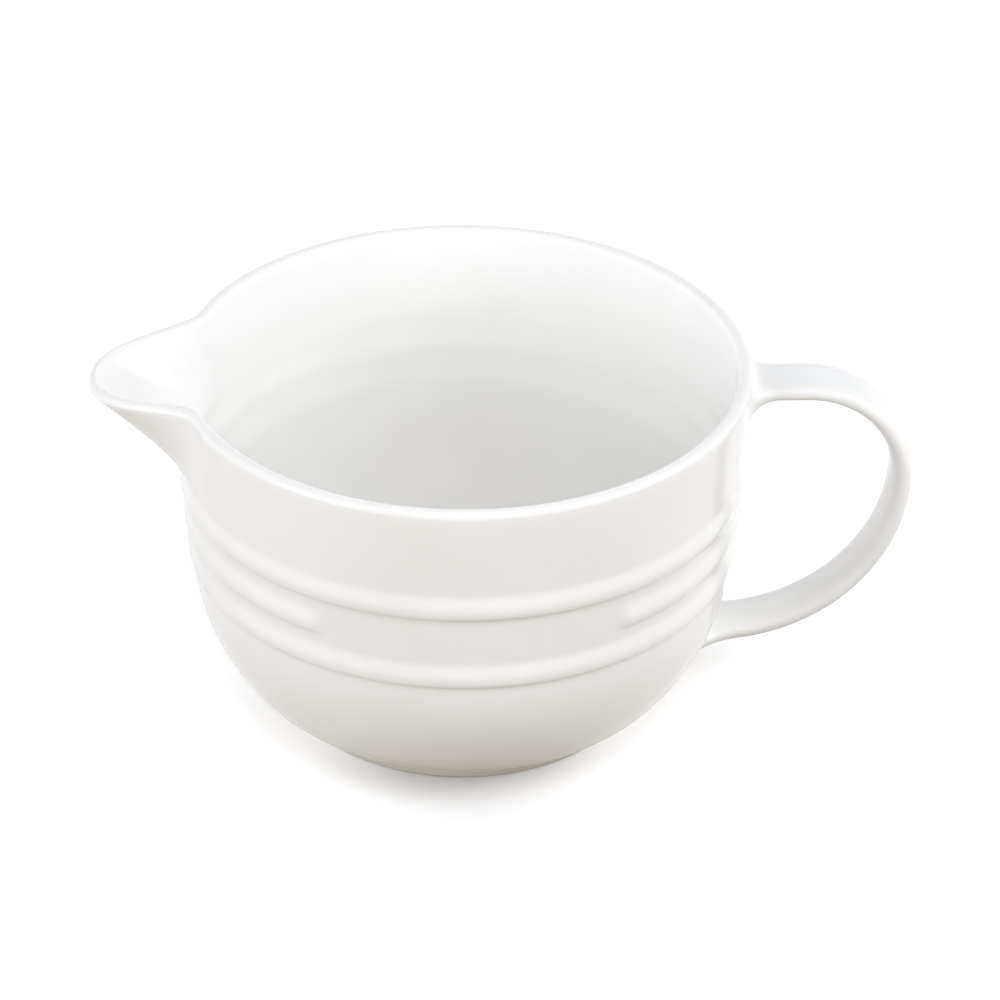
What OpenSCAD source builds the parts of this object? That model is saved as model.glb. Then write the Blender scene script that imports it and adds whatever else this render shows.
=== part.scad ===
// Batter bowl in glazed stoneware.
// A round ridged bowl on a low foot ring, with a pulled pouring spout and a strap handle.
// The origin is the middle of the foot on the table. The spout points to -X, the handle to +X,
// and the plain panel in the middle ridge faces -Y.

/* [Bowl] */
// Height of the rim above the table
bowl_h = 129; // [126:0.5:134]
// Largest radius of the rounded rim
rim_r = 98; // [96:0.5:102]
// Radius of the upper wall where it reaches the upper ridge
wall_r = 96.25; // [95:0.25:98]
// Radius of the belly under the lower ridge
belly_r = 93.2; // [91:0.1:94.5]
// Height at which the belly is widest, where its long arc has its centre
belly_z = 59.5; // [57:0.5:62]
// Radius of the tighter arc that turns the belly in to the foot
heel_arc = 34; // [30:0.5:38]
// How far that arc has pulled in from the belly's long arc at the foot
heel_cut = 2.7; // [1.8:0.1:3.6]
// Thickness of the wall and of the rounded rim
wall_t = 5; // [4.2:0.1:6]
// Thickness of the floor
floor_t = 5; // [4:0.1:7]
// Radius of the bend between the inner wall and the floor
floor_bend = 31; // [26:0.5:35]

/* [Ridges] */
// Height of the dark line under the upper ridge, where its underside turns hollow
ridge_z = 87; // [85:0.5:89]
// Distance from each ridge down to the next
ridge_pitch = 14; // [13.75:0.25:14.5]
// How far a ridge stands out of the wall
ridge_h = 1.5; // [0.8:0.1:2]
// Height of the rounded underside of a ridge
ridge_drop = 2.5; // [1.8:0.1:2.6]
// Height of the hollow under a ridge, where it runs out on the wall
ridge_cove = 2.5; // [1:0.1:2.5]
// Height over which a ridge swells out of the wall above it
ridge_rise = 8; // [6:0.5:8.5]
// Depth of the soft waves that the ridges leave on the inner wall
ripple_h = 0.7; // [0:0.1:1.2]
// Half the angle of the plain panel that interrupts the middle ridge
panel_angle = 32; // [20:1:45]
// Radius of the bends that sink the ends of the middle ridge into the wall
ridge_end_bend = 12; // [8:0.5:16]

/* [Spout] */
// How far the tip stands out past the rim
spout_reach = 28.5; // [20:0.5:34]
// Half the angle that the spout takes out of the rim
spout_angle = 21; // [18:0.5:25]
// Bluntness of the tip seen from above: 1 is pointed like a bell, more is rounder
spout_blunt = 1.3; // [1:0.05:1.6]
// How far the tip hangs below the rim
spout_drop = 4; // [0:0.5:6]
// How far the wall is pinched in on both sides of the spout
spout_pinch = 0.5; // [0:0.1:2]
// Half the angle between the seams where the spout is set into the wall
seam_angle = 40; // [36:1:48]
// Height of the crease where the underside leaves the wall
spout_z = 97; // [94:0.5:100]
// Bow of the underside: 1 is straight, more is fuller
spout_bow = 1; // [1:0.05:1.8]

/* [Handle] */
// Distance from the bowl's axis to the outside of the handle
handle_reach = 155; // [150:0.5:160]
// Height of the handle's upper face
handle_top = 122.5; // [118:0.5:123]
// Width of the strap
handle_w = 20; // [16:0.5:26]
// Thickness of the strap
handle_t = 7.75; // [6:0.25:10]
// Radius of the upper bend along the middle of the strap
handle_bend = 34.5; // [29:0.5:36]
// Radius of the longer lower bend along the middle of the strap
handle_sweep = 62.5; // [57:0.5:66]
// Angle that the lower bend turns through
handle_turn = 82; // [74:1:88]
// Fillet under the upper end
upper_fillet = 10; // [6:0.5:12]
// Fillet at both sides of the upper end
side_fillet = 6; // [3:0.5:8]
// Fillet above the upper end
small_fillet = 3; // [1.5:0.25:4]
// Fillet all round the lower end
lower_fillet = 5; // [2:0.5:7]

/* [Foot] */
// Outer radius of the foot ring where the bowl sits on it
foot_r = 63; // [59:0.5:66]
// Height of the foot ring
foot_h = 3.6; // [2.5:0.1:5]
// Width of the foot ring
foot_w = 7; // [5:0.5:9]
// Rounding of the foot ring's lower edges
foot_round = 1; // [0.5:0.1:1.4]

/* [Hidden] */

glaze_white = [0.95, 0.95, 0.94];

// Steps that divide the curves
lip_steps = 12;
ramp_steps = 10;
drop_steps = 6;
arc_step = 3;
wall_step = 1.75;
spout_columns = 56;
spout_rows = 14;
strap_sides = 28;
bend_steps = 13;
fillet_steps = 7;
// How far a piece runs on inside the wall that trims it
bury = 6;
// Depth by which the middle ridge starts below the wall, so that it cuts a clean edge there
ridge_sink = 0.06;
// Angle by which the bent ends of the middle ridge run on inside it
end_lap = 4;
// Distance from the wall to the first row of the handle's fillets
seat_row = 0.25;
// Roundness of the strap's section: 1 is an ellipse, less is boxier
strap_power = 0.84;

rim_z = bowl_h - wall_t / 2;
floor_z = foot_h + floor_t;

// Small helpers
function arc(c, r, from, to) =
    let (n = max(2, ceil(abs(to - from) / arc_step)))
    [for (i = [0:n]) c + r * [cos(from + (to - from) * i / n), sin(from + (to - from) * i / n)]];
function ease(u) = u * u * (3 - 2 * u);
function clamp01(u) = min(1, max(0, u));
function angle_of(v) = atan2(v[1], v[0]);

// Ridges: number 0 is the upper one, 2 the lower one
function ridge_line(k) = ridge_z - k * ridge_pitch;
function ridge_crest(k) = ridge_line(k) + ridge_drop;
function ridge_start(k) = ridge_crest(k) + ridge_rise;
function ridge_foot(k) = ridge_line(k) - ridge_cove;

// Plain wall outside, without the ridges
function wall_line(z) = z >= ridge_start(0)
    ? wall_r + (rim_r - wall_r) * (z - ridge_start(0)) / (rim_z - ridge_start(0))
    : z >= ridge_line(2)
    ? belly_r + (wall_r - belly_r) * (z - ridge_line(2)) / (ridge_start(0) - ridge_line(2))
    : belly_c[0] + sqrt(pow(belly_arc, 2) - pow(z - belly_z, 2));

// Outside of one ridge, from where it starts to swell to the foot of its hollow underside
function ridge_outline(k) = concat(
    [for (i = [0:ramp_steps])
        let (z = ridge_start(k) - ridge_rise * i / ramp_steps)
        [wall_line(z) + ridge_h * (1 - cos(180 * i / ramp_steps)) / 2, z]],
    [for (i = [1:drop_steps])
        let (a = 90 * i / drop_steps, z = ridge_crest(k) - ridge_drop * sin(a))
        [wall_line(z) + ridge_h * (1 + cos(a)) / 2, z]],
    [for (i = [1:drop_steps])
        let (a = 90 * i / drop_steps, z = ridge_foot(k) + ridge_cove * cos(a))
        [wall_line(z) + ridge_h * (1 - sin(a)) / 2, z]]);

// Outside of the upper wall at a height above the upper ridge's crest
function upper_wall(z) = wall_line(z)
    + ridge_h * (1 + cos(180 * clamp01((z - ridge_crest(0)) / ridge_rise))) / 2;

// The belly arc passes outside the foot's edge by heel_cut
foot_edge = [foot_r, foot_h];
foot_step = foot_edge - [belly_r, belly_z];
belly_arc = (foot_step * foot_step - pow(heel_cut, 2)) / (-2 * (foot_step[0] + heel_cut));
belly_c = [belly_r - belly_arc, belly_z];

// The heel arc touches the belly arc from inside and ends on the foot's edge
heel_to_foot = foot_edge - belly_c;
heel_shift = belly_arc - heel_arc;
heel_angle = angle_of(heel_to_foot)
    + acos((pow(norm(heel_to_foot), 2) + pow(heel_shift, 2) - pow(heel_arc, 2))
        / (2 * heel_shift * norm(heel_to_foot)));
heel_c = belly_c + heel_shift * [cos(heel_angle), sin(heel_angle)];
belly_start = asin((ridge_foot(2) - belly_z) / belly_arc);

belly_outline = concat(
    arc(belly_c, belly_arc, belly_start, heel_angle),
    arc(heel_c, heel_arc, heel_angle, angle_of(foot_edge - heel_c)));

outer_outline = concat([[rim_r, rim_z]], ridge_outline(0), ridge_outline(2), belly_outline);

// Inside of the bowl: a soft wave lies behind each ridge
inner_arc = belly_arc - wall_t;
inner_bend_angle = asin((floor_z + floor_bend - belly_z) / (inner_arc - floor_bend));
inner_bend_c = belly_c
    + (inner_arc - floor_bend) * [cos(inner_bend_angle), sin(inner_bend_angle)];
wave_top = ridge_crest(0) + ridge_pitch / 2;
wave_low = ridge_crest(2) - ridge_pitch / 2;
function wave(z) = z > wave_top || z < wave_low
    ? 0
    : ripple_h * (1 + cos(360 * (z - ridge_crest(0)) / ridge_pitch)) / 2;
function inner_wall(z) = wall_line(z) - wall_t + wave(z);
function inner_belly(z) = belly_c[0] + sqrt(pow(inner_arc, 2) - pow(z - belly_z, 2)) + wave(z);

inner_bend_z = inner_bend_c[1] + floor_bend * sin(inner_bend_angle);
inner_wall_z = ridge_line(2);
wall_rows = ceil((rim_z - inner_wall_z) / wall_step);
belly_rows = ceil((inner_wall_z - inner_bend_z) / wall_step);
inner_outline = concat(
    [[0, floor_z]],
    arc(inner_bend_c, floor_bend, -90, inner_bend_angle),
    [for (i = [1:belly_rows])
        let (z = inner_bend_z + (inner_wall_z - inner_bend_z) * i / belly_rows)
        [inner_belly(z), z]],
    [for (i = [1:wall_rows])
        let (z = inner_wall_z + (rim_z - inner_wall_z) * i / wall_rows)
        [inner_wall(z), z]]);

lip_outline = [for (i = [1:lip_steps - 1])
    let (a = 180 - 180 * i / lip_steps)
    [rim_r - wall_t / 2 + wall_t / 2 * cos(a), rim_z + wall_t / 2 * sin(a)]];

// Solid that the outside of the bowl encloses, for trimming what is stuck on to it
module bowl_envelope() {
    rotate_extrude($fn = 180)
        polygon(concat([[0, rim_z]], outer_outline, [[0, foot_h]]));
}

// Middle ridge: it stops at both sides of the front panel and its ends bend into the wall
module middle_ridge() {
    edge = [for (p = ridge_outline(1)) p - [ridge_sink, 0]];
    inner_edge = wall_line(ridge_line(1)) - wall_t / 2;
    crest_r = wall_line(ridge_crest(1)) + ridge_h;
    section = concat(edge, [[inner_edge, ridge_foot(1)], [inner_edge, ridge_start(1)]]);
    end_shift = crest_r - ridge_end_bend;
    end_turn = acos(1 - 2 * ridge_h / ridge_end_bend);
    rotate([0, 0, panel_angle - 90])
        rotate_extrude(angle = 360 - 2 * panel_angle, $fn = 180)
            polygon(section);
    for (side = [-1, 1])
        rotate([0, 0, -90 + side * panel_angle])
            translate([end_shift, 0, 0])
                rotate([0, 0, side > 0 ? -end_turn : -end_lap])
                    rotate_extrude(angle = end_turn + end_lap, $fn = 90)
                        translate([-end_shift - ridge_sink, 0])
                            polygon(section);
}

// Notch in the wall that the spout is set into
module spout_notch() {
    far = 2 * (rim_r + spout_reach);
    translate([0, 0, spout_z])
        linear_extrude(bowl_h)
            polygon([[0, 0], for (side = [1, -1]) far * [-cos(seam_angle), side * sin(seam_angle)]]);
}

module bowl_body() {
    color(glaze_white)
        difference() {
            union() {
                rotate_extrude($fn = 180)
                    polygon(concat([[0, foot_h]], inner_outline, lip_outline, outer_outline));
                middle_ridge();
            }
            spout_notch();
        }
}

// Spout: the wall between the seams, pushed out along a bell in plan and less and less lower down
pinch_from = spout_angle - 7;
function bell(a) = (1 + cos(180 * pow(clamp01(abs(a) / spout_angle), spout_blunt))) / 2;
function pinch(a) = abs(a) <= pinch_from
    ? 0
    : (1 - cos(360 * (abs(a) - pinch_from) / (seam_angle - pinch_from))) / 2;
function spout_top(a) = rim_z - spout_drop * bell(a);
function lift(a, z) = 1 - pow(1 - clamp01((z - spout_z) / (spout_top(a) - spout_z)), spout_bow);
function spout_r(a, z) =
    upper_wall(z) + (spout_reach * bell(a) - spout_pinch * pinch(a)) * lift(a, z);
function spout_point(a, z) = spout_r(a, z) * [-cos(a), sin(a)];
function spout_normal(a, z) =
    let (d = 0.05, along = spout_point(a + d, z) - spout_point(a - d, z))
    abs(a) >= seam_angle - d ? [-cos(a), sin(a)] : [-along[1], along[0]] / norm(along);
function spout_inside(a, z, depth, up) =
    let (p = spout_point(a, z) - depth * spout_normal(a, z))
    [p[0], p[1], z + up];
function spout_section(a) = concat(
    [for (i = [0:spout_rows])
        let (z = spout_z + (spout_top(a) - spout_z) * i / spout_rows)
        spout_inside(a, z, 0, 0)],
    [for (i = [1:lip_steps - 1])
        let (b = 180 * i / lip_steps)
        spout_inside(a, spout_top(a), wall_t / 2 * (1 - cos(b)), wall_t / 2 * sin(b))],
    [for (i = [0:spout_rows])
        let (
            z = spout_top(a) - (spout_top(a) - spout_z) * i / spout_rows,
            level = rim_z - (rim_z - spout_z) * i / spout_rows)
        spout_inside(a, z, upper_wall(level) - inner_wall(level), 0)]);

// Closed skin over a row of like sections
function skin_faces(rings, sides) = concat(
    [[for (i = [0:sides - 1]) i]],
    [[for (i = [0:sides - 1]) (rings - 1) * sides + sides - 1 - i]],
    [for (j = [0:rings - 2], i = [0:sides - 1])
        let (a = j * sides + i, b = j * sides + (i + 1) % sides)
        each [[a, a + sides, b], [b, a + sides, b + sides]]]);

module pouring_spout() {
    sections = [for (j = [0:spout_columns])
        spout_section(-seam_angle + 2 * seam_angle * j / spout_columns)];
    color(glaze_white)
        polyhedron(
            points = [for (s = sections) each s],
            faces = skin_faces(len(sections), len(sections[0])));
}

// Handle: a strap swept along a line, two bends and a line, in the plane of the spout
strap_z = handle_top - handle_t / 2;
upper_c = [handle_reach - handle_t / 2 - handle_bend, strap_z - handle_bend];
lower_c = upper_c + [handle_bend - handle_sweep, 0];
upper_seat = upper_wall(strap_z);

// The lower run leaves the lower bend along run_dir and ends on the belly arc
run_out = [cos(handle_turn), -sin(handle_turn)];
run_dir = [-sin(handle_turn), -cos(handle_turn)];
run_from = lower_c + handle_sweep * run_out;
function run_length(p) =
    let (v = p - belly_c, along = v * run_dir)
    -along - sqrt(pow(along, 2) - v * v + pow(belly_arc, 2));
lower_run = run_length(run_from);
lower_seat = run_from[0] + lower_run * run_dir[0];

function fillet(d, r) = d >= r ? 0 : r - sqrt(pow(r, 2) - pow(r - max(d, 0), 2));
function fillet_rows(r) = [for (i = [0:fillet_steps])
    seat_row + (r - seat_row) * (1 - cos(90 * i / fillet_steps))];
function reversed(list) = [for (i = [len(list) - 1:-1:0]) list[i]];

// Point of the strap's section at angle a: across the strap, and outwards from its middle
function strap_uv(a, side, outside, inside) = [
    (handle_w / 2 + side) * sign(cos(a)) * pow(abs(cos(a)), strap_power),
    (handle_t / 2 + (sin(a) >= 0 ? outside : inside)) * sign(sin(a)) * pow(abs(sin(a)), strap_power)];

// The ends fit round the wall: d is the distance from it along the strap
function upper_point(d, a) =
    let (
        q = strap_uv(a, fillet(d, side_fillet), fillet(d, small_fillet), fillet(d, upper_fillet)),
        seat = sqrt(pow(upper_wall(strap_z + q[1]), 2) - pow(q[0], 2)),
        fit = 1 - ease(clamp01(d / upper_fillet)))
    [upper_seat + d + fit * (seat - upper_seat), q[0], strap_z + q[1]];
function bend_point(c, r, turn, a) =
    let (q = strap_uv(a, 0, 0, 0), p = c + (r + q[1]) * [cos(turn), sin(turn)])
    [p[0], q[0], p[1]];
function lower_point(d, a) =
    let (
        swell = fillet(d, lower_fillet),
        q = strap_uv(a, swell, swell, swell),
        from = run_from + q[1] * run_out,
        seat = run_length(from + [norm([lower_seat, q[0]]) - lower_seat, 0]),
        fit = 1 - ease(clamp01(d / lower_run)),
        p = from + (lower_run - d + fit * (seat - lower_run)) * run_dir)
    [p[0], q[0], p[1]];

module strap_handle() {
    around = [for (i = [0:strap_sides - 1]) 360 * i / strap_sides];
    upper_end = [for (d = concat([-bury], fillet_rows(upper_fillet)))
        [for (a = around) upper_point(d, a)]];
    upper_bend = [for (i = [0:bend_steps])
        [for (a = around) bend_point(upper_c, handle_bend, 90 - 90 * i / bend_steps, a)]];
    lower_bend = [for (i = [1:bend_steps])
        [for (a = around) bend_point(lower_c, handle_sweep, -handle_turn * i / bend_steps, a)]];
    lower_end = [for (d = concat(reversed(fillet_rows(lower_fillet)), [-bury]))
        [for (a = around) lower_point(d, a)]];
    sections = concat(upper_end, upper_bend, lower_bend, lower_end);
    color(glaze_white)
        difference() {
            polyhedron(
                points = [for (s = sections) each s],
                faces = skin_faces(len(sections), strap_sides));
            bowl_envelope();
        }
}

// Foot ring: it carries the bowl's flat underside and stands on its narrow lower face
module foot_ring() {
    outer_c = [foot_r - 2 * foot_round, foot_round];
    inner_c = [foot_r - foot_w + 2 * foot_round, foot_round];
    color(glaze_white)
        rotate_extrude($fn = 180)
            polygon(concat(
                [[foot_r - foot_w, foot_h]],
                arc(inner_c, foot_round, 180, 270),
                arc(outer_c, foot_round, 270, 360),
                [foot_edge]));
}

bowl_body();
pouring_spout();
strap_handle();
foot_ring();
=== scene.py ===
import math

import bmesh
import bpy
from mathutils import Matrix, Quaternion, Vector


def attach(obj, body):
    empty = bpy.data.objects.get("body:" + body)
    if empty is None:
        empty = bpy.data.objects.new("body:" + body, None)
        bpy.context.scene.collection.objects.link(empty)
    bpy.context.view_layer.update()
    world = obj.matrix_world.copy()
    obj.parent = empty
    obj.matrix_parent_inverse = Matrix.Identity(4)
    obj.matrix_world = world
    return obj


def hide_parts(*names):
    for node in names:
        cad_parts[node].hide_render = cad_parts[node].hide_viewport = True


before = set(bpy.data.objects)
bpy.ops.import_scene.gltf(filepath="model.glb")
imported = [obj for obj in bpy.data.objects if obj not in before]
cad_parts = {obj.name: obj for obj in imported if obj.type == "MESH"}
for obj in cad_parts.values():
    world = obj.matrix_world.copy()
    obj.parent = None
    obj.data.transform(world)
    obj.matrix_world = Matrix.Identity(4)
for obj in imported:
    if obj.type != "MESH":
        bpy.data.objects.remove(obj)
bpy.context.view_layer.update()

scene = bpy.context.scene
scene.view_settings.view_transform = "Standard"
mm = 0.001
mergeGap = 0.002 * mm


# Small helpers

def clamp01(u):
    return min(1.0, max(0.0, u))


def ease(u):
    u = clamp01(u)
    return u * u * (3 - 2 * u)


def arcPoints(centre, radius, start, end, steps):
    angles = [math.radians(start + (end - start) * i / steps) for i in range(steps + 1)]
    return [(centre[0] + radius * math.cos(a), centre[1] + radius * math.sin(a)) for a in angles]


def linearColor(hexColor):
    parts = [int(hexColor[i:i + 2], 16) / 255 for i in (1, 3, 5)]
    return [p / 12.92 if p <= 0.04045 else ((p + 0.055) / 1.055) ** 2.4 for p in parts] + [1.0]


def addNode(tree, kind, settings, links=()):
    node = tree.nodes.new(kind)
    for key, value in settings.items():
        if isinstance(key, str) and hasattr(node, key):
            setattr(node, key, value)
        else:
            node.inputs[key].default_value = value
    for socket, source in links:
        tree.links.new(source, node.inputs[socket])
    return node


def newMaterial(name):
    made = bpy.data.materials.new(name)
    made.use_nodes = True
    made.node_tree.nodes.clear()
    return made, made.node_tree


def finishPiece(bm, name, materials, sharpAngle=40):
    # merge the seams, turn the faces outwards and keep only the true corners sharp
    bmesh.ops.remove_doubles(bm, verts=bm.verts, dist=mergeGap)
    bmesh.ops.recalc_face_normals(bm, faces=bm.faces)
    for face in bm.faces:
        face.smooth = True
    for edge in bm.edges:
        edge.smooth = not (edge.is_manifold and edge.calc_face_angle() > math.radians(sharpAngle))
    openEdges = sum(1 for edge in bm.edges if not edge.is_manifold)
    mesh = bpy.data.meshes.new(name)
    bm.to_mesh(mesh)
    bm.free()
    piece = bpy.data.objects.new(name, mesh)
    scene.collection.objects.link(piece)
    for made in materials:
        mesh.materials.append(made)
    print(name, "faces", len(mesh.polygons), "open edges", openEdges)
    return piece


# Camera: a long lens from the front and above, a little to the spout's side

cameraView = {  # millimetres
    "lens": 144.0, "sensor": 36.0, "near": 50.0,
    "place": (0.0, -1169.6, 805.5), "aim": (13.0, 0.0, 73.1),
    "turn": -2.0, "roll": 0.6,  # degrees about the bowl's axis and about the line of sight
}


def makeCamera():
    turn = Matrix.Rotation(math.radians(cameraView["turn"]), 3, "Z")
    place = turn @ Vector(cameraView["place"]) * mm
    aim = turn @ Vector(cameraView["aim"]) * mm
    data = bpy.data.cameras.new("photoCamera")
    data.lens = cameraView["lens"]
    data.sensor_width = cameraView["sensor"]
    data.clip_start = cameraView["near"] * mm
    camera = bpy.data.objects.new("photoCamera", data)
    scene.collection.objects.link(camera)
    camera.location = place
    sight = (aim - place).to_track_quat("-Z", "Y")
    camera.rotation_euler = (sight @ Quaternion((0, 0, 1), math.radians(cameraView["roll"]))).to_euler()
    scene.camera = camera
    print("camera at", [round(v, 3) for v in place])


makeCamera()


# White glaze over stoneware, fired glossy: a clear glassy coat on an off-white ground.
# It gives the eye soft-edged reflections that waver a little, a tone that drifts over some centimetres, and
# painted shade low on the outside.

glazeLook = {  # sizes in millimetres, spans as parts of the noise's height
    "thick": "#fbfaf8", "thin": "#f9f8f5", "driftSize": 45.0, "driftSpan": (0.3, 0.6),
    "lowShadeTone": "#d8d1c6", "lowShadeFade": (4.0, 20.0),  # painted shade: the outside turns darker and warmer over its lowest millimetres, near the floor
    "insideTilt": (0.05, 0.3),  # faces that look up more than this are inside the bowl and get no painted shade
    "rough": (0.1, 0.17), "roughSize": 22.0, "roughSpan": (0.3, 0.7),
    "waveSize": 16.0, "waveDepth": 0.03,
}


def makeGlaze():
    made, tree = newMaterial("stoneware_white_glaze_fired")
    place = addNode(tree, "ShaderNodeTexCoord", {})
    drift = addNode(tree, "ShaderNodeTexNoise", {"Scale": 1000 / glazeLook["driftSize"], "Detail": 3.0},
                    [("Vector", place.outputs["Object"])])
    tone = addNode(tree, "ShaderNodeValToRGB", {}, [("Fac", drift.outputs["Fac"])])
    tone.color_ramp.elements[0].position = glazeLook["driftSpan"][0]
    tone.color_ramp.elements[0].color = linearColor(glazeLook["thin"])
    tone.color_ramp.elements[1].position = glazeLook["driftSpan"][1]
    tone.color_ramp.elements[1].color = linearColor(glazeLook["thick"])
    # painted shade: the outside is darker and warmer towards the floor, in full below the first height and
    # gone above the second
    height = addNode(tree, "ShaderNodeSeparateXYZ", {}, [("Vector", place.outputs["Object"])])
    low = addNode(tree, "ShaderNodeMapRange", {
                  "interpolation_type": "SMOOTHSTEP", "To Min": 1.0, "To Max": 0.0,
                  "From Min": glazeLook["lowShadeFade"][0] * mm, "From Max": glazeLook["lowShadeFade"][1] * mm},
                  [("Value", height.outputs["Z"])])
    skin = addNode(tree, "ShaderNodeNewGeometry", {})
    facing = addNode(tree, "ShaderNodeSeparateXYZ", {}, [("Vector", skin.outputs["Normal"])])
    outside = addNode(tree, "ShaderNodeMapRange", {"To Min": 1.0, "To Max": 0.0,
                      "From Min": glazeLook["insideTilt"][0], "From Max": glazeLook["insideTilt"][1]},
                      [("Value", facing.outputs["Z"])])
    lowShade = addNode(tree, "ShaderNodeMath", {"operation": "MULTIPLY"},
                      [(0, low.outputs["Result"]), (1, outside.outputs["Result"])])
    coat = addNode(tree, "ShaderNodeMix", {"data_type": "RGBA", 7: linearColor(glazeLook["lowShadeTone"])},
                   [(0, lowShade.outputs[0]), (6, tone.outputs["Color"])])
    patch = addNode(tree, "ShaderNodeTexNoise", {"Scale": 1000 / glazeLook["roughSize"], "Detail": 2.0},
                    [("Vector", place.outputs["Object"])])
    rough = addNode(tree, "ShaderNodeMapRange", {
                    "From Min": glazeLook["roughSpan"][0], "From Max": glazeLook["roughSpan"][1],
                    "To Min": glazeLook["rough"][0], "To Max": glazeLook["rough"][1]},
                    [("Value", patch.outputs["Fac"])])
    wave = addNode(tree, "ShaderNodeTexNoise", {"Scale": 1000 / glazeLook["waveSize"], "Detail": 1.0},
                   [("Vector", place.outputs["Object"])])
    bump = addNode(tree, "ShaderNodeBump", {"Strength": 1.0, "Distance": glazeLook["waveDepth"] * mm},
                   [("Height", wave.outputs["Fac"])])
    shader = addNode(tree, "ShaderNodeBsdfPrincipled", {"IOR": 1.5, "Metallic": 0.0},
                     [("Base Color", coat.outputs[2]), ("Roughness", rough.outputs["Result"]),
                      ("Normal", bump.outputs["Normal"])])
    addNode(tree, "ShaderNodeOutputMaterial", {}, [("Surface", shader.outputs["BSDF"])])
    return made


# Bare stoneware on the standing face, wiped clean of glaze before firing.
# It gives the eye a matt, warm and finely gritty ring.

clayLook = {  # sizes in millimetres, the span as parts of the noise's height
    "pale": "#d9d2c4", "dark": "#c3b9a8", "gritSize": 0.6, "gritSpan": (0.35, 0.65), "gritDepth": 0.05,
    "rough": 0.85,
}


def makeClay():
    made, tree = newMaterial("stoneware_bare_wiped")
    place = addNode(tree, "ShaderNodeTexCoord", {})
    grit = addNode(tree, "ShaderNodeTexNoise", {"Scale": 1000 / clayLook["gritSize"], "Detail": 4.0},
                   [("Vector", place.outputs["Object"])])
    tone = addNode(tree, "ShaderNodeValToRGB", {}, [("Fac", grit.outputs["Fac"])])
    tone.color_ramp.elements[0].position = clayLook["gritSpan"][0]
    tone.color_ramp.elements[0].color = linearColor(clayLook["dark"])
    tone.color_ramp.elements[1].position = clayLook["gritSpan"][1]
    tone.color_ramp.elements[1].color = linearColor(clayLook["pale"])
    bump = addNode(tree, "ShaderNodeBump", {"Strength": 1.0, "Distance": clayLook["gritDepth"] * mm},
                   [("Height", grit.outputs["Fac"])])
    shader = addNode(tree, "ShaderNodeBsdfPrincipled", {"Roughness": clayLook["rough"], "IOR": 1.45},
                     [("Base Color", tone.outputs["Color"]), ("Normal", bump.outputs["Normal"])])
    addNode(tree, "ShaderNodeOutputMaterial", {}, [("Surface", shader.outputs["BSDF"])])
    return made


glaze = makeGlaze()
clay = makeClay()


# Bowl with its spout: one profile spun round the axis, then the wall pulled out at the spout.
# Body and spout are one glazed skin, because the fired seam between them doesn't show.

bowl = {  # millimetres and degrees
    "height": 129.0, "rimRadius": 98.0, "wallRadius": 96.25, "bellyRadius": 93.2, "bellyHeight": 59.5,
    "heelArc": 34.0, "heelCut": 2.7, "wall": 5.0, "floor": 3.8, "floorBend": 31.0,
    "footRadius": 63.0, "footHeight": 4.8,
    "ridgeHeight": 87.0, "ridgePitch": 14.0, "ridgeOut": 1.3, "ridgeDrop": 2.5, "ridgeRise": 7.5,
    "ridgeCove": 3.0, "ripple": 0.4, "panelHalf": 32.0, "panelFade": 4.0,
}
spout = {  # millimetres, degrees round the axis, and the power that makes the bell blunt
    "reach": 28.5, "half": 21.0, "blunt": 1.3, "seam": 40.0, "crease": 97.0, "drop": 4.0,
    "pinch": 1.0, "pinchIn": 4.0, "pinchOut": 8.0,
}
sectors = [  # start, end and steps of each part of the spin: finer at the spout and at the ridge's ends
    (136, 224, 124), (224, 231, 5), (231, 245, 36), (245, 295, 30), (295, 309, 36), (309, 496, 110),
]
profileSteps = {  # steps along each part of the profile, from the middle of the floor
    "floor": 6, "bend": 18, "inside": 56, "lip": 14, "wall": 14, "swell": 24, "drop": 12, "cove": 10,
    "belly": 16, "heel": 8, "under": 4,
}

rimHeight = bowl["height"] - bowl["wall"] / 2
floorHeight = bowl["footHeight"] + bowl["floor"]


def ridgeLine(k):
    return bowl["ridgeHeight"] - k * bowl["ridgePitch"]


def ridgeCrest(k):
    return ridgeLine(k) + bowl["ridgeDrop"]


def ridgeStart(k):
    return ridgeCrest(k) + bowl["ridgeRise"]


def wallLine(z):
    top, low = ridgeStart(0), ridgeLine(2)
    if z >= top:
        spread = bowl["rimRadius"] - bowl["wallRadius"]
        return bowl["wallRadius"] + spread * (z - top) / (rimHeight - top)
    if z >= low:
        spread = bowl["wallRadius"] - bowl["bellyRadius"]
        return bowl["bellyRadius"] + spread * (z - low) / (top - low)
    return bellyCentre[0] + math.sqrt(bellyArc ** 2 - (z - bellyCentre[1]) ** 2)


def upperWall(z):
    swell = clamp01((z - ridgeCrest(0)) / bowl["ridgeRise"])
    return wallLine(z) + bowl["ridgeOut"] * (1 + math.cos(math.pi * swell)) / 2


def ridgePoints(k):
    # the swell from above, the rounded underside, then the hollow where it runs out on the wall
    points = []
    swell, drop, cove = (profileSteps[part] for part in ("swell", "drop", "cove"))
    for i in range(swell + 1):
        z = ridgeStart(k) - bowl["ridgeRise"] * i / swell
        points.append((wallLine(z) + bowl["ridgeOut"] * (1 - math.cos(math.pi * i / swell)) / 2, z))
    for i in range(1, drop + 1):
        z = ridgeCrest(k) - bowl["ridgeDrop"] * math.sin(math.pi / 2 * i / drop)
        points.append((wallLine(z) + bowl["ridgeOut"] * (1 + math.cos(math.pi / 2 * i / drop)) / 2, z))
    for i in range(1, cove + 1):
        z = ridgeLine(k) - bowl["ridgeCove"] * (1 - math.cos(math.pi / 2 * i / cove))
        points.append((wallLine(z) + bowl["ridgeOut"] * (1 - math.sin(math.pi / 2 * i / cove)) / 2, z))
    return points


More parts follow.
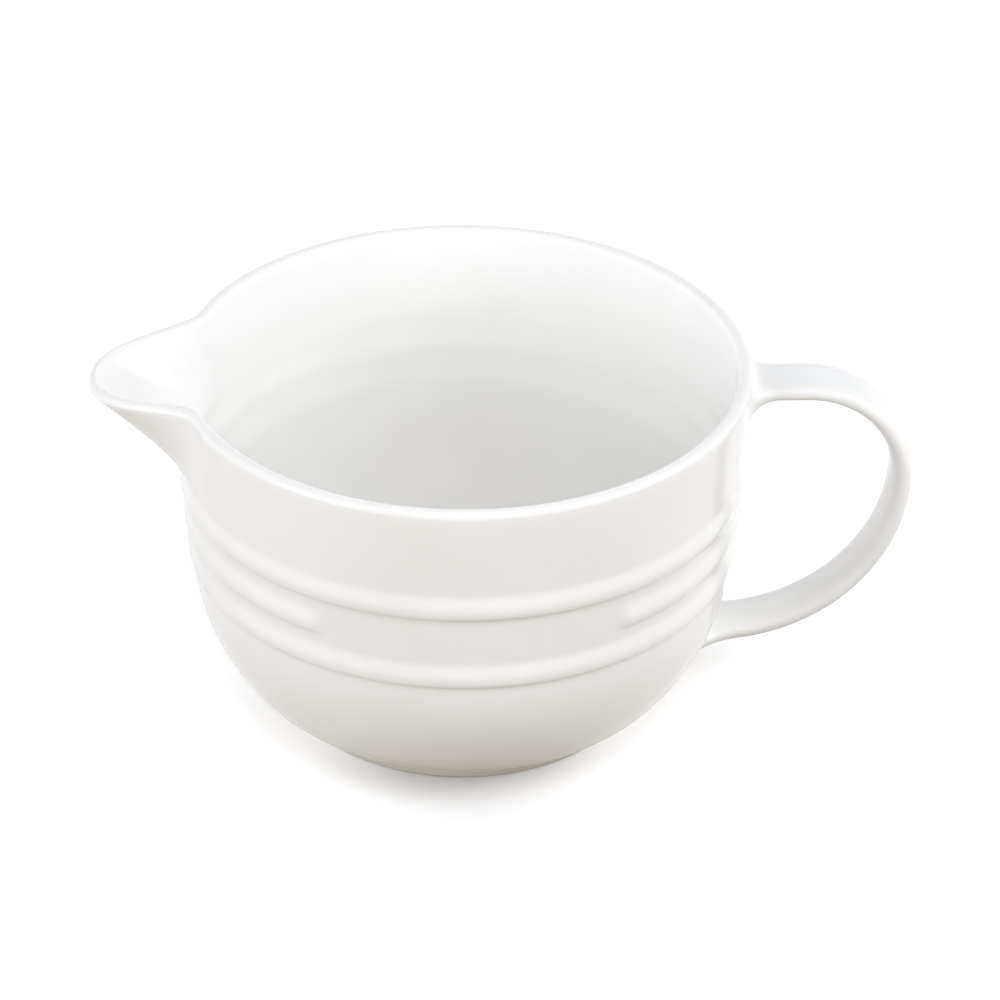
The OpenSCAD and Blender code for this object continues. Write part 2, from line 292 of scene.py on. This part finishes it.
def bellyArcs():
    stepX = bowl["footRadius"] - bowl["bellyRadius"]
    stepZ = bowl["footHeight"] - bowl["bellyHeight"]
    arc = (stepX ** 2 + stepZ ** 2 - bowl["heelCut"] ** 2) / (-2 * (stepX + bowl["heelCut"]))
    centre = (bowl["bellyRadius"] - arc, bowl["bellyHeight"])
    toFoot = (bowl["footRadius"] - centre[0], bowl["footHeight"] - centre[1])
    far = math.hypot(*toFoot)
    shift = arc - bowl["heelArc"]
    turn = math.atan2(toFoot[1], toFoot[0]) + math.acos(
        (far ** 2 + shift ** 2 - bowl["heelArc"] ** 2) / (2 * shift * far))
    heel = (centre[0] + shift * math.cos(turn), centre[1] + shift * math.sin(turn))
    last = math.atan2(bowl["footHeight"] - heel[1], bowl["footRadius"] - heel[0])
    return centre, arc, heel, math.degrees(turn), math.degrees(last)


bellyCentre, bellyArc, heelCentre, heelTurn, heelLast = bellyArcs()


def innerWave(z):
    top = ridgeCrest(0) + bowl["ridgePitch"] / 2
    low = ridgeCrest(2) - bowl["ridgePitch"] / 2
    if z > top or z < low:
        return 0.0
    return bowl["ripple"] * (1 + math.cos(2 * math.pi * (z - ridgeCrest(0)) / bowl["ridgePitch"])) / 2


def innerRadius(z):
    if z >= ridgeLine(2):
        return wallLine(z) - bowl["wall"] + innerWave(z)
    arc = bellyArc - bowl["wall"]
    return bellyCentre[0] + math.sqrt(arc ** 2 - (z - bellyCentre[1]) ** 2) + innerWave(z)


def bowlProfile():
    # from the middle of the floor up the inside, over the rim and down the outside to the underside
    bend = bowl["floorBend"]
    arc = bellyArc - bowl["wall"]
    bendAngle = math.degrees(math.asin((floorHeight + bend - bowl["bellyHeight"]) / (arc - bend)))
    bendCentre = (bellyCentre[0] + (arc - bend) * math.cos(math.radians(bendAngle)),
                  floorHeight + bend)
    flat = profileSteps["floor"]
    points = [(bendCentre[0] * i / flat, floorHeight) for i in range(flat)]
    points += arcPoints(bendCentre, bend, -90, bendAngle, profileSteps["bend"])
    bendTop = points[-1][1]
    rows = profileSteps["inside"]
    for i in range(1, rows + 1):
        z = bendTop + (rimHeight - bendTop) * i / rows
        points.append((innerRadius(z), z))
    lip = bowl["wall"] / 2
    points += arcPoints((bowl["rimRadius"] - lip, rimHeight), lip, 180, 0, profileSteps["lip"])[1:]
    top = ridgeStart(0)
    for i in range(1, profileSteps["wall"]):
        z = rimHeight + (top - rimHeight) * i / profileSteps["wall"]
        points.append((wallLine(z), z))
    points += ridgePoints(0)
    for k in (1, 2):
        gapTop = points[-1][1]
        z = gapTop + (ridgeStart(k) - gapTop) / 2
        points.append((wallLine(z), z))
        points += ridgePoints(k)
    bellyStart = math.degrees(math.asin((points[-1][1] - bowl["bellyHeight"]) / bellyArc))
    points += arcPoints(bellyCentre, bellyArc, bellyStart, heelTurn, profileSteps["belly"])[1:]
    points += arcPoints(heelCentre, bowl["heelArc"], heelTurn, heelLast, profileSteps["heel"])[1:]
    under = profileSteps["under"]
    points += [(bowl["footRadius"] * i / under, bowl["footHeight"]) for i in reversed(range(under))]
    return points


def spoutBell(a):
    return (1 + math.cos(math.pi * clamp01(abs(a) / spout["half"]) ** spout["blunt"])) / 2


def spoutTop(a):
    return rimHeight - spout["drop"] * spoutBell(a)


def spoutPinch(a):
    start, end = spout["half"] - spout["pinchIn"], spout["half"] + spout["pinchOut"]
    if abs(a) <= start or abs(a) >= end:
        return 0.0
    return (1 - math.cos(2 * math.pi * (abs(a) - start) / (end - start))) / 2


def spoutPoint(a, z):
    rise = clamp01((z - spout["crease"]) / (spoutTop(a) - spout["crease"]))
    r = upperWall(z) + (spout["reach"] * spoutBell(a) - spout["pinch"] * spoutPinch(a)) * rise
    return Vector((-r * math.cos(math.radians(a)), r * math.sin(math.radians(a)), z))


def shapeSpout(bm):
    # each point goes to its old depth behind the pulled wall, or a little less at the pinch
    probe = 0.05  # degrees
    for vert in bm.verts:
        p = vert.co / mm
        a = math.degrees(math.atan2(p.y, -p.x))
        if abs(a) >= spout["seam"] or p.z <= spout["crease"]:
            continue
        depth = upperWall(min(p.z, rimHeight)) - math.hypot(p.x, p.y)
        part = clamp01((p.z - spout["crease"]) / (rimHeight - spout["crease"]))
        z = spout["crease"] + (spoutTop(a) - spout["crease"]) * part
        along = spoutPoint(a + probe, z) - spoutPoint(a - probe, z)
        outward = Vector((-along.y, along.x, 0)).normalized()
        kept = 1 - spout["pinch"] * spoutPinch(a) * part / bowl["wall"]
        moved = spoutPoint(a, z) - depth * kept * outward
        lip = bowl["wall"] / 2
        above = max(0.0, p.z - rimHeight)
        if above and depth > lip:  # the lip runs into the channel without a step
            above += (2 * lip - depth - above) * spoutBell(a)
        vert.co = Vector((moved.x, moved.y, z + above)) * mm


def clearPanel(bm):
    # the middle ridge runs out at both sides of the plain panel
    low, high = ridgeLine(1) - bowl["ridgeCove"], ridgeStart(1)
    for vert in bm.verts:
        p = vert.co / mm
        r = math.hypot(p.x, p.y)
        rise = r - wallLine(p.z)
        if not low <= p.z <= high or rise <= 1e-4:
            continue
        a = abs(math.degrees(math.atan2(p.x, -p.y)))
        kept = ease((a - bowl["panelHalf"] + bowl["panelFade"] / 2) / bowl["panelFade"])
        scale = (wallLine(p.z) + rise * kept) / r
        vert.co = Vector((p.x * scale, p.y * scale, p.z)) * mm


def makeBowl():
    bm = bmesh.new()
    for start, end, steps in sectors:
        turn = Matrix.Rotation(math.radians(start), 3, "Z")
        chain = [bm.verts.new(turn @ Vector((r, 0, z)) * mm) for r, z in bowlProfile()]
        edges = [bm.edges.new(pair) for pair in zip(chain, chain[1:])]
        bmesh.ops.spin(bm, geom=chain + edges, cent=(0, 0, 0), axis=(0, 0, 1), dvec=(0, 0, 0),
                       angle=math.radians(end - start), steps=steps, use_merge=False, use_duplicate=False)
    bmesh.ops.remove_doubles(bm, verts=bm.verts, dist=mergeGap)
    clearPanel(bm)
    shapeSpout(bm)
    return finishPiece(bm, "glazedBowl", [glaze])


bowlPiece = makeBowl()
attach(bowlPiece, "root")
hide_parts("bowl_body", "pouring_spout")


# Handle: a strap of rounded section, spun through two bends and flared on to the wall at both ends

handle = {  # millimetres, degrees, and the power that rounds the section
    "reach": 155.0, "top": 122.5, "width": 20.0, "thick": 7.75, "round": 0.84, "sides": 56,
    "bend": 34.5, "bendSteps": 30, "sweep": 62.5, "sweepSteps": 40, "turn": 82.0,
    "underFlare": 10.0, "sideFlare": 9.0, "topFlare": 3.0, "lowFlare": 6.0, "lowSide": 15.0, "rows": 12,
    "bury": 2.0,
}

strapHeight = handle["top"] - handle["thick"] / 2
upperBend = Vector((handle["reach"] - handle["thick"] / 2 - handle["bend"], 0,
                    strapHeight - handle["bend"]))
lowerBend = upperBend + Vector((handle["bend"] - handle["sweep"], 0, 0))
runTurn = math.radians(handle["turn"])
runOut = Vector((math.cos(runTurn), 0, -math.sin(runTurn)))
runDir = Vector((-math.sin(runTurn), 0, -math.cos(runTurn)))
runFrom = lowerBend + handle["sweep"] * runOut


def runLength(p):
    v = p - Vector((bellyCentre[0], 0, bellyCentre[1]))
    along = v.dot(runDir)
    return -along - math.sqrt(along ** 2 - v.length_squared + bellyArc ** 2)


lowerRun = runLength(runFrom)
lowerSeat = runFrom.x + lowerRun * runDir.x


def flare(d, r):
    return 0.0 if d >= r else r - math.sqrt(r ** 2 - (r - max(d, 0.0)) ** 2)


def flareRows(r):
    return [r * (1 - math.cos(math.pi / 2 * i / handle["rows"])) for i in range(handle["rows"] + 1)]


def strapPoint(a, side=0.0, outside=0.0, inside=0.0):
    c, s = math.cos(a), math.sin(a)
    across = (handle["width"] / 2 + side) * math.copysign(abs(c) ** handle["round"], c)
    outwards = handle["thick"] / 2 + (outside if s >= 0 else inside)
    return across, outwards * math.copysign(abs(s) ** handle["round"], s)


def upperEnd(d, a):
    side, above, under = (flare(d, handle[part]) for part in ("sideFlare", "topFlare", "underFlare"))
    u, v = strapPoint(a, side, above, under)
    middle = upperWall(strapHeight)
    seat = math.sqrt(upperWall(strapHeight + v) ** 2 - u ** 2)
    fit = 1 - ease(d / handle["underFlare"])
    return Vector((middle + d + fit * (seat - middle), u, strapHeight + v))


def lowerEnd(d, a):
    swell = flare(d, handle["lowFlare"])
    u, v = strapPoint(a, flare(d, handle["lowSide"]), swell, swell)
    start = runFrom + v * runOut
    seat = runLength(start + Vector((math.hypot(lowerSeat, u) - lowerSeat, 0, 0)))
    fit = 1 - ease(d / lowerRun)
    p = start + (lowerRun - d + fit * (seat - lowerRun)) * runDir
    return Vector((p.x, u, p.z))


def growRing(bm, ring, place, layer):
    # extrude a ring of edges and put its new points where place says for their angle
    grown = bmesh.ops.extrude_edge_only(bm, edges=ring)["geom"]
    verts = [g for g in grown if isinstance(g, bmesh.types.BMVert)]
    for vert in verts:
        vert.co = place(vert[layer]) * mm
    new = set(verts)
    return [g for g in grown if isinstance(g, bmesh.types.BMEdge) and set(g.verts) <= new]


def spinRing(bm, ring, centre, angle, steps):
    verts = list({v for edge in ring for v in edge.verts})
    spun = bmesh.ops.spin(bm, geom=verts + ring, cent=centre * mm, axis=(0, 1, 0), dvec=(0, 0, 0),
                          angle=math.radians(angle), steps=steps, use_merge=False, use_duplicate=False)
    return [g for g in spun["geom_last"] if isinstance(g, bmesh.types.BMEdge)]


def makeHandle():
    bm = bmesh.new()
    layer = bm.verts.layers.float.new("sectionAngle")
    bmesh.ops.create_circle(bm, segments=handle["sides"], radius=1.0)
    for vert in bm.verts:
        vert[layer] = math.atan2(vert.co.y, vert.co.x)
        u, v = strapPoint(vert[layer])
        vert.co = Vector((upperBend.x, u, strapHeight + v)) * mm
    first = list(bm.edges)
    ring = first
    for d in list(reversed(flareRows(handle["underFlare"]))) + [-handle["bury"]]:
        ring = growRing(bm, ring, lambda a, d=d: upperEnd(d, a), layer)
    bmesh.ops.contextual_create(bm, geom=ring)
    ring = spinRing(bm, first, upperBend, 90, handle["bendSteps"])
    ring = spinRing(bm, ring, lowerBend, handle["turn"], handle["sweepSteps"])
    for d in list(reversed(flareRows(handle["lowSide"]))) + [-handle["bury"]]:
        ring = growRing(bm, ring, lambda a, d=d: lowerEnd(d, a), layer)
    bmesh.ops.contextual_create(bm, geom=ring)
    return finishPiece(bm, "glazedHandle", [glaze])


handlePiece = makeHandle()
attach(handlePiece, "root")
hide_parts("strap_handle")


# Foot ring: glazed at its sides, with a fine groove under the bowl, and bare where it stands

foot = {  # millimetres
    "width": 7.0, "round": 1.4, "roundSteps": 8, "chamfer": 0.6, "turnSteps": 240,
    "groove": 1.2, "bandIn": (0.36, 0.24),  # how far the band's low and high edges stay inside the radius
    "bareTilt": -0.8,  # faces that look down more than this are wiped bare
}


def makeFoot():
    outer, inner = bowl["footRadius"], bowl["footRadius"] - foot["width"]
    r, g, top = foot["round"], foot["groove"], bowl["footHeight"]
    profile = [(inner, top), (inner, r + foot["chamfer"])]
    profile += arcPoints((inner + 2 * r, r), r, 180, 270, foot["roundSteps"])
    profile += arcPoints((outer - r - foot["bandIn"][0], r), r, 270, 360, foot["roundSteps"])
    band = outer - foot["bandIn"][1]
    profile += [(band, top - 2 * g), (band, top - g), (outer - g, top)]
    bm = bmesh.new()
    chain = [bm.verts.new(Vector((x, 0, z)) * mm) for x, z in profile]
    edges = [bm.edges.new(pair) for pair in zip(chain, chain[1:] + chain[:1])]
    bmesh.ops.spin(bm, geom=chain + edges, cent=(0, 0, 0), axis=(0, 0, 1), dvec=(0, 0, 0),
                   angle=math.radians(360), steps=foot["turnSteps"], use_merge=True, use_duplicate=False)
    bmesh.ops.remove_doubles(bm, verts=bm.verts, dist=mergeGap)
    bmesh.ops.recalc_face_normals(bm, faces=bm.faces)
    for face in bm.faces:
        face.material_index = 1 if face.normal.z < foot["bareTilt"] else 0
    return finishPiece(bm, "footRing", [glaze, clay])


footPiece = makeFoot()
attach(footPiece, "root")
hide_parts("foot_ring")


# Floor, world and lamps: a white floor that keeps the bowl's shadow, and soft light round the bowl

stage = {
    "floorHalf": 6.0,  # metres
    "floor": "#fafafa", "bounce": "#7f6e4e", "floorGlow": 0.42,
    "shade": (0.0, -35.0), "shadeHalf": (60.0, 95.0),  # millimetres: an oval with less glow, for the shadow
    "shadeEdge": (0.2, 1.05),  # where the glow starts and where it is full, as parts of the oval
    "world": "#f7faff", "horizon": 1.34, "zenith": 0.0,  # strength at eye level and overhead
}
softBoxes = [  # name, place and size in metres, watts, colour
    ("frontBox", (0.0, -1.0, 1.7), (1.4, 1.0), 7.6, "#fcfdff"),
    ("leftBox", (-1.3, -0.85, 0.55), (0.8, 0.8), 9.0, "#fcfdff"),
    ("rightBox", (1.4, -0.5, 0.9), (0.9, 0.9), 12.0, "#fcfdff"),
    ("backBox", (0.0, 1.5, 1.0), (1.6, 0.8), 2.0, "#fcfdff"),
]
boxAim = (0, 0, 0.07)  # metres
fillLamp = {  # a soft-edged spot over the near rim to the far wall inside, metres and degrees
    "place": (0.03, -1.136, 1.083), "aim": (-0.005, 0.085, 0.035), "beam": 4.8, "radius": 0.06,
    "watts": 14.0, "color": "#fff6e8",
}


def makeFloor():
    # white for the camera and mirrors, a warm grey for the light that it throws back on the bowl
    bm = bmesh.new()
    bmesh.ops.create_grid(bm, x_segments=1, y_segments=1, size=stage["floorHalf"])
    mesh = bpy.data.meshes.new("studioFloor")
    bm.to_mesh(mesh)
    bm.free()
    floor = bpy.data.objects.new("studioFloor", mesh)
    scene.collection.objects.link(floor)
    made, tree = newMaterial("studio_floor_paper")
    ray = addNode(tree, "ShaderNodeLightPath", {})
    seen = addNode(tree, "ShaderNodeMath", {"operation": "MAXIMUM"},
                   [(0, ray.outputs["Is Camera Ray"]), (1, ray.outputs["Is Glossy Ray"])])
    seen = addNode(tree, "ShaderNodeMath", {"operation": "MAXIMUM"},
                   [(0, seen.outputs[0]), (1, ray.outputs["Is Transmission Ray"])])
    paper = addNode(tree, "ShaderNodeMix", {"data_type": "RGBA", 6: linearColor(stage["bounce"]),
                                            7: linearColor(stage["floor"])}, [(0, seen.outputs[0])])
    flat = addNode(tree, "ShaderNodeMapping", {"vector_type": "TEXTURE",
                   "Location": (stage["shade"][0] * mm, stage["shade"][1] * mm, 0),
                   "Scale": (stage["shadeHalf"][0] * mm, stage["shadeHalf"][1] * mm, 1)},
                   [("Vector", addNode(tree, "ShaderNodeTexCoord", {}).outputs["Object"])])
    away = addNode(tree, "ShaderNodeVectorMath", {"operation": "LENGTH"}, [(0, flat.outputs["Vector"])])
    lit = addNode(tree, "ShaderNodeMapRange", {"interpolation_type": "SMOOTHSTEP",
                  "From Min": stage["shadeEdge"][0], "From Max": stage["shadeEdge"][1],
                  "To Max": stage["floorGlow"]}, [("Value", away.outputs["Value"])])
    glow = addNode(tree, "ShaderNodeMath", {"operation": "MULTIPLY"},
                   [(0, seen.outputs[0]), (1, lit.outputs["Result"])])
    shader = addNode(tree, "ShaderNodeBsdfPrincipled",
                     {"Roughness": 0.9, "Specular IOR Level": 0.0, "Emission Color": (1, 1, 1, 1)},
                     [("Base Color", paper.outputs[2]), ("Emission Strength", glow.outputs[0])])
    addNode(tree, "ShaderNodeOutputMaterial", {}, [("Surface", shader.outputs["BSDF"])])
    mesh.materials.append(made)
    print("floor", stage["floor"])


def makeWorld():
    # bright at the horizon and dark overhead, as a bowl on a table between white walls sees it
    world = bpy.data.worlds.new("studioWorld")
    scene.world = world
    world.use_nodes = True
    tree = world.node_tree
    tree.nodes.clear()
    way = addNode(tree, "ShaderNodeSeparateXYZ", {},
                  [("Vector", addNode(tree, "ShaderNodeTexCoord", {}).outputs["Generated"])])
    fade = addNode(tree, "ShaderNodeMapRange", {"To Min": stage["horizon"], "To Max": stage["zenith"]},
                   [("Value", way.outputs["Z"])])
    sky = addNode(tree, "ShaderNodeBackground", {"Color": linearColor(stage["world"])},
                  [("Strength", fade.outputs["Result"])])
    addNode(tree, "ShaderNodeOutputWorld", {}, [("Surface", sky.outputs["Background"])])
    print("world", stage["horizon"], "at the horizon")


def addLamp(name, kind, place, aim, watts, hexColor):
    data = bpy.data.lights.new(name, kind)
    data.energy = watts
    data.color = linearColor(hexColor)[:3]
    lamp = bpy.data.objects.new(name, data)
    scene.collection.objects.link(lamp)
    lamp.location = place
    lamp.rotation_euler = (Vector(aim) - Vector(place)).to_track_quat("-Z", "Y").to_euler()
    return lamp


def makeLamps():
    for name, place, size, watts, hexColor in softBoxes:
        box = addLamp(name, "AREA", place, boxAim, watts, hexColor)
        box.data.shape = "RECTANGLE"
        box.data.size, box.data.size_y = size
    fill = addLamp("fillLamp", "SPOT", fillLamp["place"], fillLamp["aim"],
                   fillLamp["watts"], fillLamp["color"])
    fill.data.spot_size, fill.data.spot_blend = math.radians(fillLamp["beam"]), 1.0
    fill.data.shadow_soft_size = fillLamp["radius"]
    fill.visible_glossy = False
    print(len(softBoxes), "soft boxes and a fill lamp")


makeFloor()
makeWorld()
makeLamps()
